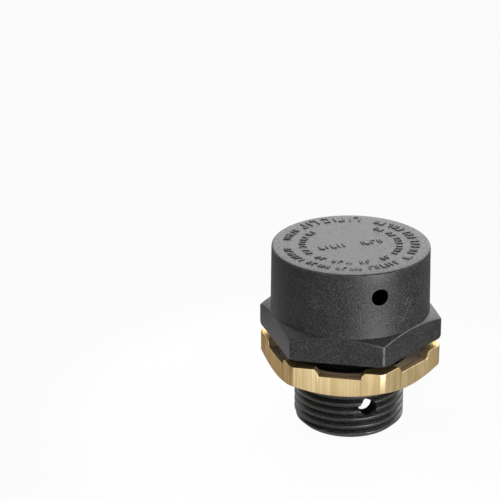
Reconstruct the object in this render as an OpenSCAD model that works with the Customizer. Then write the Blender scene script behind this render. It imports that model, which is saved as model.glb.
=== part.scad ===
// Breather and drain plug for an equipment enclosure, in millimetres.
// Z runs along the thread. Zero is the open end of the spigot, and the closed cap is on top.
// A corner of the hexagon, a vent hole and a drain hole face -Y.

/* [Thread spigot] */
// Outside diameter of the thread
thread_d = 20; // [17:0.5:20.5]
// Depth of the thread, from crest to root
thread_depth = 0.92; // [0.6:0.02:1.1]
// Pitch of the thread
thread_pitch = 1.5; // [1:0.25:2]
// Width of the flat on the thread's crests
crest_flat = 0.3; // [0.15:0.05:0.4]
// Height of a crest above the open end, on the +X side
crest_z = 0.03; // [0:0.01:1.5]
// Length of the spigot, from the seat under the hexagon to its open end
spigot_len = 17.3; // [15:0.1:30]
// Height of the chamfer that leads the thread in
lead_chamfer = 1.3; // [0.6:0.1:1.6]
// Length of the plain neck between the seat and the thread
neck_len = 2.4; // [2:0.1:4]
// Diameter of the bore
bore_d = 14; // [10:0.5:14]
// Chamfer round the bore's mouth
mouth_chamfer = 0.4; // [0.2:0.1:0.8]

/* [Vent and drain holes] */
// Diameter of the drain holes through the thread
drain_d = 3.2; // [2:0.1:4]
// Height of the drain holes above the open end
drain_from_end = 6.3; // [4:0.1:7.5]
// Number of drain holes
drain_count = 2; // [1:1:3]
// Diameter of the vent holes in the cap's side
vent_d = 3; // [2:0.1:3.6]
// Depth of the vent holes' centres below the cap's top
vent_from_top = 4.5; // [4:0.1:5]
// Number of vent holes
vent_count = 2; // [1:1:3]

/* [Head] */
// Width of the hexagon across its flats
hex_af = 28.8; // [28:0.1:34]
// Height of the hexagon's corner edges
hex_edge_h = 3.8; // [3:0.1:6]
// Slope of the chamfer on top of the hexagon's corners
hex_chamfer_deg = 25; // [15:1:35]
// Height of the whole head, from the seat to the cap's top
head_h = 16.9; // [16.5:0.1:24]
// Distance that the cap's foot stands inside the flats
cap_inset = 0.05; // [0.05:0.05:0.5]
// Draft of the cap's side
cap_draft_deg = 0.9; // [0:0.1:2]
// Radius round the cap's top edge
cap_edge_r = 0.4; // [0.2:0.1:1]
// Thickness of the cap's side wall at the top
cap_wall = 2.3; // [1.6:0.1:2.8]
// Thickness of the cap's roof
cap_roof = 2.2; // [1.6:0.1:2.8]
// Breadth of the small break under the hexagon's corners
foot_break = 0.3; // [0.1:0.1:0.6]
// Slope of that break
foot_break_deg = 60; // [45:5:70]

/* [Seat and sealing ring] */
// Thickness of the flange that closes the head from below
flange_t = 2.5; // [2:0.1:3]
// Wall of the head outside the flange, at the middles of the flats
socket_wall = 1.3; // [1:0.1:1.6]
// Depth of the two flats that key the flange into the head
key_depth = 0.4; // [0.2:0.1:0.8]
// Thickness of the sealing ring
ring_d = 2; // [1.8:0.1:2.4]
// Depth of the ring's groove under the flange
groove_depth = 0.8; // [0.6:0.1:1.2]
// Room on each side of the sealing ring
ring_room = 0.15; // [0.1:0.05:0.3]
// Clearance between parts that are pushed together
push_gap = 0.05; // [0.02:0.01:0.1]

/* [Labyrinth] */
// Height of the chimney above the flange
chimney_h = 4.5; // [3.5:0.1:5]
// Wall of the chimney
chimney_wall = 1.6; // [1.4:0.1:1.8]
// Width of the ledge that carries the filter disc
filter_ledge = 0.8; // [0.5:0.1:0.9]
// Thickness of the filter disc
filter_t = 2; // [1.5:0.1:2.5]
// Air gap between the chimney and the baffle cup's roof
air_gap = 1.2; // [0.8:0.1:1.3]
// Wall of the baffle cup
cup_wall = 1; // [0.8:0.1:1.2]
// Thickness of the baffle cup's roof
cup_roof = 1.2; // [0.8:0.1:1.4]
// Number of windows round the baffle cup's foot
cup_windows = 3; // [2:1:4]
// Height of the windows
window_h = 1.4; // [1:0.1:2]
// Diameter of the posts that hold the cup and the filter disc down
post_d = 5; // [3:0.5:7]

/* [Locknut] */
// Width of the locknut across its flats
nut_af = 28.8; // [28:0.1:34]
// Height of the locknut
nut_h = 5; // [4.4:0.1:8]
// Gap between the seat and the tops of the locknut's teeth
nut_gap = 1.4; // [0.6:0.1:4]
// Width of the bevel on the locknut's upright corners
corner_bevel = 0.95; // [0.4:0.05:1.6]
// Slope of the chamfer under the locknut's corners
nut_chamfer_deg = 30; // [20:1:35]
// Distance that this chamfer starts inside the flats
nut_foot_inset = 0.3; // [0.1:0.1:0.8]
// Depth of the slots between the teeth
slot_depth = 1.35; // [0.8:0.05:1.6]
// Width of the slots at their floor
slot_floor_w = 7.5; // [6:0.1:8.6]
// Lean of each slot's wall, up to the break on the tooth's corner
slot_lean = 0.15; // [0.1:0.05:0.5]
// Breadth of the 45 degree break on the top corners of the teeth
tooth_break = 0.6; // [0.3:0.05:0.8]
// Turn of the slots, as cut, away from the middles of the flats
slot_turn_deg = 2; // [0:0.5:4]
// Thickness of the rim round the dish, at the middles of the flats
dish_rim = 1; // [0.7:0.05:1.4]
// Depth of the dish in the locknut's toothed face
dish_depth = 2; // [1.8:0.1:2.4]
// Draft of the dish's wall
dish_draft_deg = 12; // [0:1:20]
// Running clearance between the locknut and the spigot
thread_gap = 0.05; // [0.02:0.01:0.1]
// Chamfer at both ends of the locknut's bore
nut_bore_chamfer = 0.8; // [0.4:0.1:1]

/* [Hidden] */
$fn = 96;

// Amount by which a cutting tool runs past the face that it cuts
past = 1;

// Radii and levels of the spigot
thread_r = thread_d / 2;
neck_r = thread_r - thread_depth;
bore_r = bore_d / 2;
seat_z = spigot_len;

// Groove of the thread, cut in straight steps from below the open end to above the thread
thread_steps = 36;
flank_slope = tan(30);
groove_top_r = (thread_r + 0.01) / cos(180 / thread_steps);
groove_floor_r = (neck_r + 0.01) / cos(180 / thread_steps);
groove_top_w = thread_pitch - crest_flat + 2 * (groove_top_r - thread_r) * flank_slope;
groove_floor_w = max(0.05, groove_top_w - 2 * (groove_top_r - groove_floor_r) * flank_slope);
groove_low_z = crest_z - 1.5 * thread_pitch;
groove_high_z = seat_z - neck_len + thread_pitch / 2;
groove_steps = ceil((groove_high_z - groove_low_z) / thread_pitch * thread_steps);

// Sealing ring, its groove and the flange round them
ring_mid_r = neck_r + ring_room + ring_d / 2;
ring_z = seat_z + groove_depth - ring_d / 2;
ring_groove_r = neck_r + 2 * ring_room + ring_d;
flange_r = hex_af / 2 - socket_wall;
flange_z = seat_z + flange_t;

// Head
hex_corner_r = hex_af / 2 / cos(30);
shoulder_h = hex_edge_h + (hex_corner_r - hex_af / 2) * tan(hex_chamfer_deg);
foot_break_h = foot_break * tan(foot_break_deg);
cap_foot_r = hex_af / 2 - cap_inset;
cap_top_r = cap_foot_r - (head_h - shoulder_h) * tan(cap_draft_deg);
cavity_r = cap_top_r - cap_wall;
cap_top_z = seat_z + head_h;
roof_z = cap_top_z - cap_roof;

// Chimney, filter disc and baffle cup
chimney_r = bore_r + chimney_wall;
chimney_z = flange_z + chimney_h;
filter_seat_r = bore_r + filter_ledge;
filter_z = chimney_z - filter_t;
cup_in_r = (chimney_r + cavity_r - cup_wall) / 2;
cup_out_r = cup_in_r + cup_wall;
cup_roof_z = chimney_z + air_gap;
cup_top_z = cup_roof_z + cup_roof;
window_w = cup_out_r;
window_step = 360 / cup_windows;

// Locknut
nut_z = seat_z - nut_gap - nut_h;
nut_corner_r = nut_af / 2 / cos(30);
bevel_af = 2 * nut_corner_r - corner_bevel / tan(60);
nut_foot_r = nut_af / 2 - nut_foot_inset;
dish_r = nut_af / 2 - dish_rim;
dish_floor_r = dish_r - dish_depth * tan(dish_draft_deg);
nut_bore_r = thread_r + thread_gap;
slot_wall_w = slot_floor_w + 2 * slot_lean;
slot_top_w = slot_wall_w + 2 * tooth_break;

// Hexagon with a corner on -Y
module hexagon(across_flats) {
    rotate(30) circle(d = across_flats / cos(30), $fn = 6);
}

// Round outline with a flat on its +X and -X sides
module keyed_round(r, flat_x) {
    intersection() {
        circle(r = r);
        square([2 * flat_x, 2 * r + past], center = true);
    }
}

// Round holes that run outwards from the axis, the first of them on -Y
module radial_holes(count, d, z, from_r, to_r) {
    for (i = [0:count - 1])
        rotate([0, 0, -90 + 360 * i / count])
            translate([from_r, 0, z])
                rotate([0, 90, 0])
                    cylinder(d = d, h = to_r - from_r);
}

// Outline of the drafted cap with its rounded top edge
module cap_outline() {
    polygon([
        [0, 0],
        [cap_foot_r, 0],
        [cap_foot_r, shoulder_h],
        [cap_top_r, head_h - cap_edge_r],
        [cap_top_r - cap_edge_r, head_h],
        [0, head_h]
    ]);
    translate([cap_top_r - cap_edge_r, head_h - cap_edge_r]) circle(r = cap_edge_r, $fn = 48);
}

// Hexagon whose corners are turned down above and just broken below
module head_hexagon() {
    intersection() {
        linear_extrude(shoulder_h) hexagon(hex_af);
        rotate_extrude()
            polygon([
                [0, 0],
                [hex_corner_r - foot_break, 0],
                [hex_corner_r, foot_break_h],
                [hex_corner_r, hex_edge_h],
                [hex_af / 2, shoulder_h],
                [0, shoulder_h]
            ]);
    }
}

// Moulded head: closed cap, hexagon, and a socket underneath for the spigot's flange
module vent_head() {
    color([0.2, 0.2, 0.21]) {
        difference() {
            translate([0, 0, seat_z]) {
                head_hexagon();
                rotate_extrude() cap_outline();
            }
            translate([0, 0, seat_z - past]) cylinder(r = cavity_r, h = roof_z - seat_z + past);
            translate([0, 0, seat_z - past])
                linear_extrude(flange_t + past)
                    keyed_round(flange_r + push_gap, flange_r - key_depth + push_gap);
            radial_holes(vent_count, vent_d, cap_top_z - vent_from_top, cavity_r - past, hex_af / 2 + past);
        }
        translate([0, 0, cup_top_z]) cylinder(d = post_d, h = roof_z - cup_top_z + cap_roof / 2);
    }
}

// Wall of the spigot in section: chamfered bore, thread, neck, ring groove, flange and chimney
module spigot_section() {
    polygon([
        [bore_r + mouth_chamfer, 0],
        [thread_r - lead_chamfer, 0],
        [thread_r, lead_chamfer],
        [thread_r, seat_z - neck_len - thread_depth],
        [neck_r, seat_z - neck_len],
        [neck_r, seat_z + groove_depth],
        [ring_groove_r, seat_z + groove_depth],
        [ring_groove_r, seat_z],
        [flange_r, seat_z],
        [flange_r, flange_z],
        [chimney_r, flange_z],
        [chimney_r, chimney_z],
        [filter_seat_r + push_gap, chimney_z],
        [filter_seat_r + push_gap, filter_z],
        [bore_r, filter_z],
        [bore_r, mouth_chamfer]
    ]);
}

// Cutter for the thread's groove: its section is carried round the axis and rises by a pitch in a turn
module thread_groove() {
    section = [
        [groove_floor_r, groove_floor_w / 2],
        [groove_top_r, groove_top_w / 2],
        [groove_top_r, -groove_top_w / 2],
        [groove_floor_r, -groove_floor_w / 2]
    ];
    points = [
        for (i = [0:groove_steps])
            let (turn = 360 * i / thread_steps, z = groove_low_z + thread_pitch * i / thread_steps)
                for (p = section)
                    [p[0] * cos(turn), p[0] * sin(turn), z + p[1]]
    ];
    sides = [
        for (i = [0:groove_steps - 1])
            for (j = [0:3])
                let (a = 4 * i + j, b = 4 * i + (j + 1) % 4)
                    for (face = [[a, a + 4, b], [b, a + 4, b + 4]])
                        face
    ];
    last = 4 * groove_steps;
    polyhedron(points, concat([[0, 1, 2, 3]], sides, [[last + 3, last + 2, last + 1, last]]), convexity = 20);
}

// Moulded spigot: threaded tube with its keyed flange, chimney and drain holes
module threaded_spigot() {
    color([0.17, 0.17, 0.18])
        difference() {
            intersection() {
                rotate_extrude() spigot_section();
                translate([0, 0, -past])
                    linear_extrude(chimney_z + 2 * past)
                        keyed_round(flange_r + past, flange_r - key_depth);
            }
            thread_groove();
            radial_holes(drain_count, drain_d, drain_from_end, bore_r - past, thread_r + past);
        }
}

// Moulded cup that turns the air path down round the chimney, with windows round its foot
module baffle_cup() {
    color([0.3, 0.3, 0.32])
        difference() {
            rotate_extrude()
                polygon([
                    [0, chimney_z],
                    [post_d / 2, chimney_z],
                    [post_d / 2, cup_roof_z],
                    [cup_in_r, cup_roof_z],
                    [cup_in_r, flange_z],
                    [cup_out_r, flange_z],
                    [cup_out_r, cup_top_z],
                    [0, cup_top_z]
                ]);
            for (i = [0:cup_windows - 1])
                rotate([0, 0, window_step * i])
                    translate([0, -window_w / 2, flange_z - past])
                        cube([cup_out_r + past, window_w, window_h + past]);
        }
}

// Porous sintered disc on the ledge in the chimney's mouth
module filter_disc() {
    color([0.62, 0.47, 0.28])
        translate([0, 0, filter_z]) cylinder(r = filter_seat_r, h = filter_t);
}

// Rubber sealing ring round the neck, half sunk in its groove under the flange
module o_ring() {
    color([0.08, 0.08, 0.08])
        rotate_extrude()
            translate([ring_mid_r, ring_z]) circle(d = ring_d);
}

// Section of a slot between two teeth with broken corners, from its floor to past the tops of the teeth
module slot_section() {
    past_w = slot_top_w + 2 * past;
    polygon([
        [-slot_floor_w / 2, 0],
        [slot_floor_w / 2, 0],
        [slot_wall_w / 2, slot_depth - tooth_break],
        [past_w / 2, slot_depth + past],
        [-past_w / 2, slot_depth + past],
        [-slot_wall_w / 2, slot_depth - tooth_break]
    ]);
}

// One slot between two teeth, cut through the rim on +X
module tooth_slot() {
    slot_from_r = dish_floor_r - past;
    translate([slot_from_r, 0, nut_h - slot_depth])
        rotate([90, 0, 90])
            linear_extrude(nut_corner_r - slot_from_r) slot_section();
}

// Bevelled hexagon with its corners chamfered underneath
module nut_blank() {
    intersection() {
        linear_extrude(nut_h)
            intersection() {
                hexagon(nut_af);
                rotate(30) hexagon(bevel_af);
            }
        rotate_extrude()
            polygon([
                [0, 0],
                [nut_foot_r, 0],
                [nut_corner_r, (nut_corner_r - nut_foot_r) * tan(nut_chamfer_deg)],
                [nut_corner_r, nut_h],
                [0, nut_h]
            ]);
    }
}

// Round hollow of the locknut in section: bore, chamfered at both ends, and dish
module nut_hollow() {
    dish_z = nut_h - dish_depth;
    polygon([
        [0, -past],
        [nut_bore_r + nut_bore_chamfer + past, -past],
        [nut_bore_r, nut_bore_chamfer],
        [nut_bore_r, dish_z - nut_bore_chamfer],
        [nut_bore_r + nut_bore_chamfer, dish_z],
        [dish_floor_r, dish_z],
        [dish_r + past * tan(dish_draft_deg), nut_h + past],
        [0, nut_h + past]
    ]);
}

// Brass locknut with a dished and slotted upper face
module locknut() {
    color([0.78, 0.64, 0.38])
        translate([0, 0, nut_z])
            difference() {
                nut_blank();
                rotate_extrude() nut_hollow();
                for (i = [0:5])
                    rotate([0, 0, 60 * i + slot_turn_deg]) tooth_slot();
            }
}

vent_head();
threaded_spigot();
baffle_cup();
filter_disc();
o_ring();
locknut();
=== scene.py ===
"""Breather drain plug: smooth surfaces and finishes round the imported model.

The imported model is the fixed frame. The moulded head, the threaded spigot and the locknut are worked out
again here as smooth surfaces of the same form and place, with small rounded edges, grooves in the nut's bore
and raised marks on the cap. The sealing ring, the baffle cup and the filter disc keep their solids and get a
finish.

Lengths are in millimetres and angles in degrees wherever a class holds them. The meshes are in metres.
"""

import logging
import math
from dataclasses import dataclass, field
from enum import Enum
from functools import reduce
from itertools import cycle
from typing import Callable, Sequence, Union

import bpy
import numpy as np
from mathutils import Matrix, Vector


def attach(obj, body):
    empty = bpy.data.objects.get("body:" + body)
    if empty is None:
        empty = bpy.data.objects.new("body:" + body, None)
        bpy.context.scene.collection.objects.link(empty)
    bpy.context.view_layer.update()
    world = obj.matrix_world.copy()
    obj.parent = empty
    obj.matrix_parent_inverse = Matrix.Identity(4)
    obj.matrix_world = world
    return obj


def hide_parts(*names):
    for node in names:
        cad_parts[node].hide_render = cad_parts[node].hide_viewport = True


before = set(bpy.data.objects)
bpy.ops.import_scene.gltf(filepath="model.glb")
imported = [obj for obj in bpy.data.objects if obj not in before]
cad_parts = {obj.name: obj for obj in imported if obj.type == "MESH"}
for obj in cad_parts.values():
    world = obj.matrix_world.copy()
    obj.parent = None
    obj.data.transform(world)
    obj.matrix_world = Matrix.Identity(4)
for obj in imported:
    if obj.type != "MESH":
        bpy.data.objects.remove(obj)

MM = 0.001  # a millimetre in metres
MERGE_STEP = 1e-5  # step in millimetres within which points are one
SHARP_DEG = 38.0  # angle between faces from which an edge is shown sharp
LONGEST_SHARE = 0.45  # most that a rounding takes of a side
TINY = 1e-9  # keeps a division away from zero
COS30 = math.cos(math.radians(30.0))
TAN30 = math.tan(math.radians(30.0))

Array = np.ndarray
Size = Union[float, Array]
WallRadius = Callable[[Array, Array], Array]
Row = tuple[Size, Array, Size, float]
Pair = tuple[float, float]
Triple = tuple[float, float, float]
Colour = Triple
Scratch = tuple[Triple, Triple, float]
Piece = bpy.types.Object
Socket = bpy.types.NodeSocket
Tone = Union[Colour, Socket]
Value = Union[float, tuple[float, ...], Vector, Socket]

WHITE: Colour = (1.0, 1.0, 1.0)
BLACK: Colour = (0.0, 0.0, 0.0)
EVEN: Triple = (1.0, 1.0, 1.0)
NOISE: Pair = (0.3, 0.7)  # range that most of a noise lies in

log = logging.getLogger("breather_drain_plug")


class Body(Enum):
    """Bodies that pieces ride on."""

    PLUG = "plug"
    NUT = "nut"


class Slot(Enum):
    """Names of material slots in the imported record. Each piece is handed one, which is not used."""

    HEAD = "head_nylon"
    SPIGOT = "spigot_nylon"
    NUT = "nut_brass"


class Edge(float, Enum):
    """Sizes of rounded edges, in millimetres."""

    NONE = 0.0
    KEEN = 0.08
    FINE = 0.1
    NEAT = 0.12
    SOFT = 0.15
    FULL = 0.2
    WIDE = 0.3


def settle(piece: Piece, finish: bpy.types.Material, body: Body, slot: Slot, *nodes: str) -> None:
    """Gives a piece its finish, joins it to its body and hides the solids that it replaces.

    Args:
        piece: The piece.
        finish: Material that it shows.
        body: Body that it rides on.
        slot: Not used.
        *nodes: Solids that it replaces.
    """
    piece.data.materials.append(finish)
    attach(piece, body.value)
    if nodes:
        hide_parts(*nodes)


# Shapes: rows of points, rounded edges, round holes and closed skins


def polar(radius: Size, angle: Size, height: Size) -> Array:
    """Points x = r cos a, y = r sin a, z = h for a radius r, an angle a in radians and a height h."""
    r, a, h = np.broadcast_arrays(radius, angle, height)
    return np.stack([r * np.cos(a), r * np.sin(a), h.astype(float)], axis=-1)


def reach(direction: Array, size: float) -> Array:
    """Vectors shortened to a size, and to at most a share of their own length."""
    length = np.linalg.norm(direction, axis=-1, keepdims=True)
    return direction * (np.minimum(size, LONGEST_SHARE * length) / np.maximum(length, TINY))


def soften(
    rows: Array, breaks: Sequence[float], closed: bool = False, steps: int = 3,
) -> tuple[Array, list[int]]:
    """Rounds the edges that run along rows of points.

    A row P with a break becomes rows on the curve (1 - t)^2 A + 2t (1 - t) P + t^2 B, where A lies towards
    the row before and B towards the row after, each a break's length from P.

    Args:
        rows: Points, one row after another along the section.
        breaks: Size of the rounding at each row, or 0 for none.
        closed: Whether the last row is followed by the first.
        steps: Number of strips in a rounding.

    Returns:
        The new rows, and where each old row starts in them.
    """
    made: list[Array] = []
    starts: list[int] = []
    for index, size in enumerate(breaks):
        point = rows[index]
        starts.append(len(made))
        if size <= 0 or (not closed and index in (0, len(rows) - 1)):
            made.append(point)
            continue
        before = point + reach(rows[index - 1] - point, size)
        after = point + reach(rows[(index + 1) % len(rows)] - point, size)
        for t in np.linspace(0.0, 1.0, steps + 1):
            made.append((1 - t) ** 2 * before + 2 * t * (1 - t) * point + t * t * after)
    return np.array(made), starts


def profile(section: Sequence[Row], closed: bool = False, steps: int = 3) -> tuple[Array, list[int]]:
    """Rounded rows round the axis, from each row's radius, angles, height and size of rounding."""
    rows = np.array([polar(radius, angle, height) for radius, angle, height, _ in section])
    return soften(rows, [size for *_, size in section], closed, steps)


def span(angle: Array, turn: float, half: float) -> tuple[int, int]:
    """First and last of the columns that lie less than half from a direction, both in degrees."""
    found = np.flatnonzero(np.abs(np.degrees(angle) - turn) < half)
    return int(found[0]), int(found[-1])


def keyed(radius: float, depth: float, angle: Array) -> Array:
    """Radius of a circle c that is cut flat towards +X and -X: the smaller of c and (c - depth) / |cos a|."""
    return np.minimum(radius, (radius - depth) / np.maximum(np.abs(np.cos(angle)), TINY))


def rotate(x: Array, y: Array, angle: Size) -> Array:
    """Points turned about the axis, to x cos a - y sin a and x sin a + y cos a."""
    c, s = np.cos(angle), np.sin(angle)
    return np.stack([x * c - y * s, x * s + y * c], axis=-1)


@dataclass(frozen=True)
class Block:
    """Cells of a grid that are left out for a hole.

    Attributes:
        low: Row at which it starts. It has the larger number where rows run down a wall.
        high: Row at which it ends.
        left: First column.
        right: Last column.
    """

    low: int
    high: int
    left: int
    right: int

    def loop(self, grid: Array) -> Array:
        """Walks round the block: along the low row, up the right column, back along the high row and down.

        Args:
            grid: The grid's points.

        Returns:
            The points round the block, once each.
        """
        up = 1 if self.high > self.low else -1
        rows = np.concatenate([
            np.full(self.right - self.left, self.low),
            np.arange(self.low, self.high, up),
            np.full(self.right - self.left, self.high),
            np.arange(self.high, self.low, -up),
        ])
        columns = np.concatenate([
            np.arange(self.left, self.right),
            np.full(abs(self.high - self.low), self.right),
            np.arange(self.right, self.left, -1),
            np.full(abs(self.high - self.low), self.left),
        ])
        return grid[rows, columns]


@dataclass(frozen=True)
class RoundHole:
    """A round hole drilled straight out through a wall, with rounded rims.

    Attributes:
        angle: Direction that it faces, from +X, in degrees.
        height: Height of its axis.
        radius: Radius of the hole.
        edge: Size of the rounding at its rims.
        rings: Number of strips between the hole and the block round it.
    """

    angle: float
    height: float
    radius: float
    edge: float = Edge.NEAT
    rings: int = 4

    def on_wall(self, across: Array, height: Array, wall: WallRadius) -> Array:
        """Points of a wall beside the hole's axis.

        The wall's radius r depends on the angle a and the height, and a = asin(across / r). Four rounds
        settle both.

        Args:
            across: Distance to the side of the hole's axis.
            height: Height of the points.
            wall: The wall's radius as a function of angle and height.

        Returns:
            The points on the wall.
        """
        turn = math.radians(self.angle)
        offset = np.zeros_like(across)
        for _ in range(4):
            offset = np.arcsin(across / wall(turn + offset, height))
        return polar(wall(turn + offset, height), turn + offset, height)

    def across(self, points: Array) -> Array:
        """Distance of points to the side of the hole's axis, positive to the right as seen from outside."""
        turn = math.radians(self.angle)
        return points[..., 1] * math.cos(turn) - points[..., 0] * math.sin(turn)

    def ring_rows(self, loop: Array, around: Array, wall: WallRadius) -> Array:
        """Rows on the wall that lead from a block's edge to the hole's rim, each a share t of the way.

        Args:
            loop: Points round the block.
            around: Angle of each point's line round the hole.
            wall: The wall's radius as a function of angle and height.

        Returns:
            The rows, from the block to the rim.
        """
        side, up = self.across(loop), loop[:, 2]
        rows = [loop]
        for t in np.linspace(0.0, 1.0, self.rings + 1)[1:]:
            across = (1 - t) * side + t * self.radius * np.cos(around)
            height = (1 - t) * up + t * (self.height + self.radius * np.sin(around))
            rows.append(self.on_wall(across, height, wall))
        return np.array(rows)

    def sleeve(self, outer_loop: Array, inner_loop: Array, outer: WallRadius, inner: WallRadius) -> Array:
        """Skin from the block on the outer wall to the hole, through it, and to the block on the inner wall.

        Args:
            outer_loop: Points round the outer wall's block.
            inner_loop: Points round the inner wall's block, as many as outside.
            outer: The outer wall's radius.
            inner: The inner wall's radius.

        Returns:
            The sleeve's rows, each of them closed.
        """
        around = np.arctan2(outer_loop[:, 2] - self.height, self.across(outer_loop))
        outside = self.ring_rows(outer_loop, around, outer)
        inside = self.ring_rows(inner_loop, around, inner)[::-1]
        plain = [0.0] * self.rings
        rows, _ = soften(np.concatenate([outside, inside]), [*plain, self.edge, self.edge, *plain])
        return rows


class Skin:
    """Grids of points that are joined into one closed mesh. Every grid is closed along its rows."""

    def __init__(self) -> None:
        """Starts with no points and no faces."""
        self._points: list[Array] = []
        self._faces: list[Array] = []
        self._count = 0

    def add(self, grid: Array, blocks: Sequence[Block] = (), closed: bool = False, gain: int = 0) -> None:
        """Adds a grid. A face joins points (i, j), (i, j + 1), (i + 1, j + 1) and (i + 1, j).

        Args:
            grid: Points by row and column. Faces look outwards where rows go up and columns go round from +X
                to +Y.
            blocks: Cells that are left out.
            closed: Whether the last row joins the first.
            gain: Number of rows by which a row has risen when it has gone round once.
        """
        rows, columns = grid.shape[:2]
        keep = np.ones((rows if closed else rows - 1, columns), bool)
        for block in blocks:
            keep[min(block.low, block.high):max(block.low, block.high), block.left:block.right] = False
        row, column = np.meshgrid(np.arange(keep.shape[0]), np.arange(columns), indexing="ij")
        above, right = (row + 1) % rows, (column + 1) % columns
        risen = np.where(right == 0, gain, 0)
        corners = [
            row * columns + column,
            np.minimum(row + risen, rows - 1) * columns + right,
            np.minimum(above + risen, rows - 1) * columns + right,
            above * columns + column,
        ]
        self._points.append(grid.reshape(-1, 3))
        self._faces.append(np.stack(corners, axis=-1)[keep] + self._count)
        self._count += rows * columns

    def build(self, name: str) -> Piece:
        """Makes the mesh. Points in one place become one, and a face that loses a side becomes a triangle.

        Args:
            name: Name of the piece.

        Returns:
            The piece, at the origin, with its place in its mesh.
        """
        points, faces = np.concatenate(self._points), np.concatenate(self._faces)
        keys = np.round(points / MERGE_STEP).astype(np.int64)
        _, first, index = np.unique(keys, axis=0, return_index=True, return_inverse=True)
        points, faces = points[first], index.reshape(-1)[faces]
        lost = faces == np.roll(faces, -1, axis=1)
        sides = 4 - lost.sum(axis=1)
        quads, thin = faces[sides == 4], faces[sides == 3]
        triangles = thin[~lost[sides == 3]].reshape(-1, 3)
        used, order = np.unique(np.concatenate([quads.ravel(), triangles.ravel()]), return_inverse=True)
        order = order.reshape(-1)
        quads = order[:quads.size].reshape(-1, 4)
        triangles = order[quads.size:].reshape(-1, 3)

        mesh = bpy.data.meshes.new(name)
        mesh.from_pydata((points[used] * MM).tolist(), [], quads.tolist() + triangles.tolist())
        mesh.validate()
        mesh.shade_smooth()
        mesh.set_sharp_from_angle(angle=math.radians(SHARP_DEG))
        piece = bpy.data.objects.new(name, mesh)
        bpy.context.scene.collection.objects.link(piece)
        log.info("%s: %d points, %d faces", name, len(used), len(quads) + len(triangles))
        return piece


# Finishes: each makes one material from nodes


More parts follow.
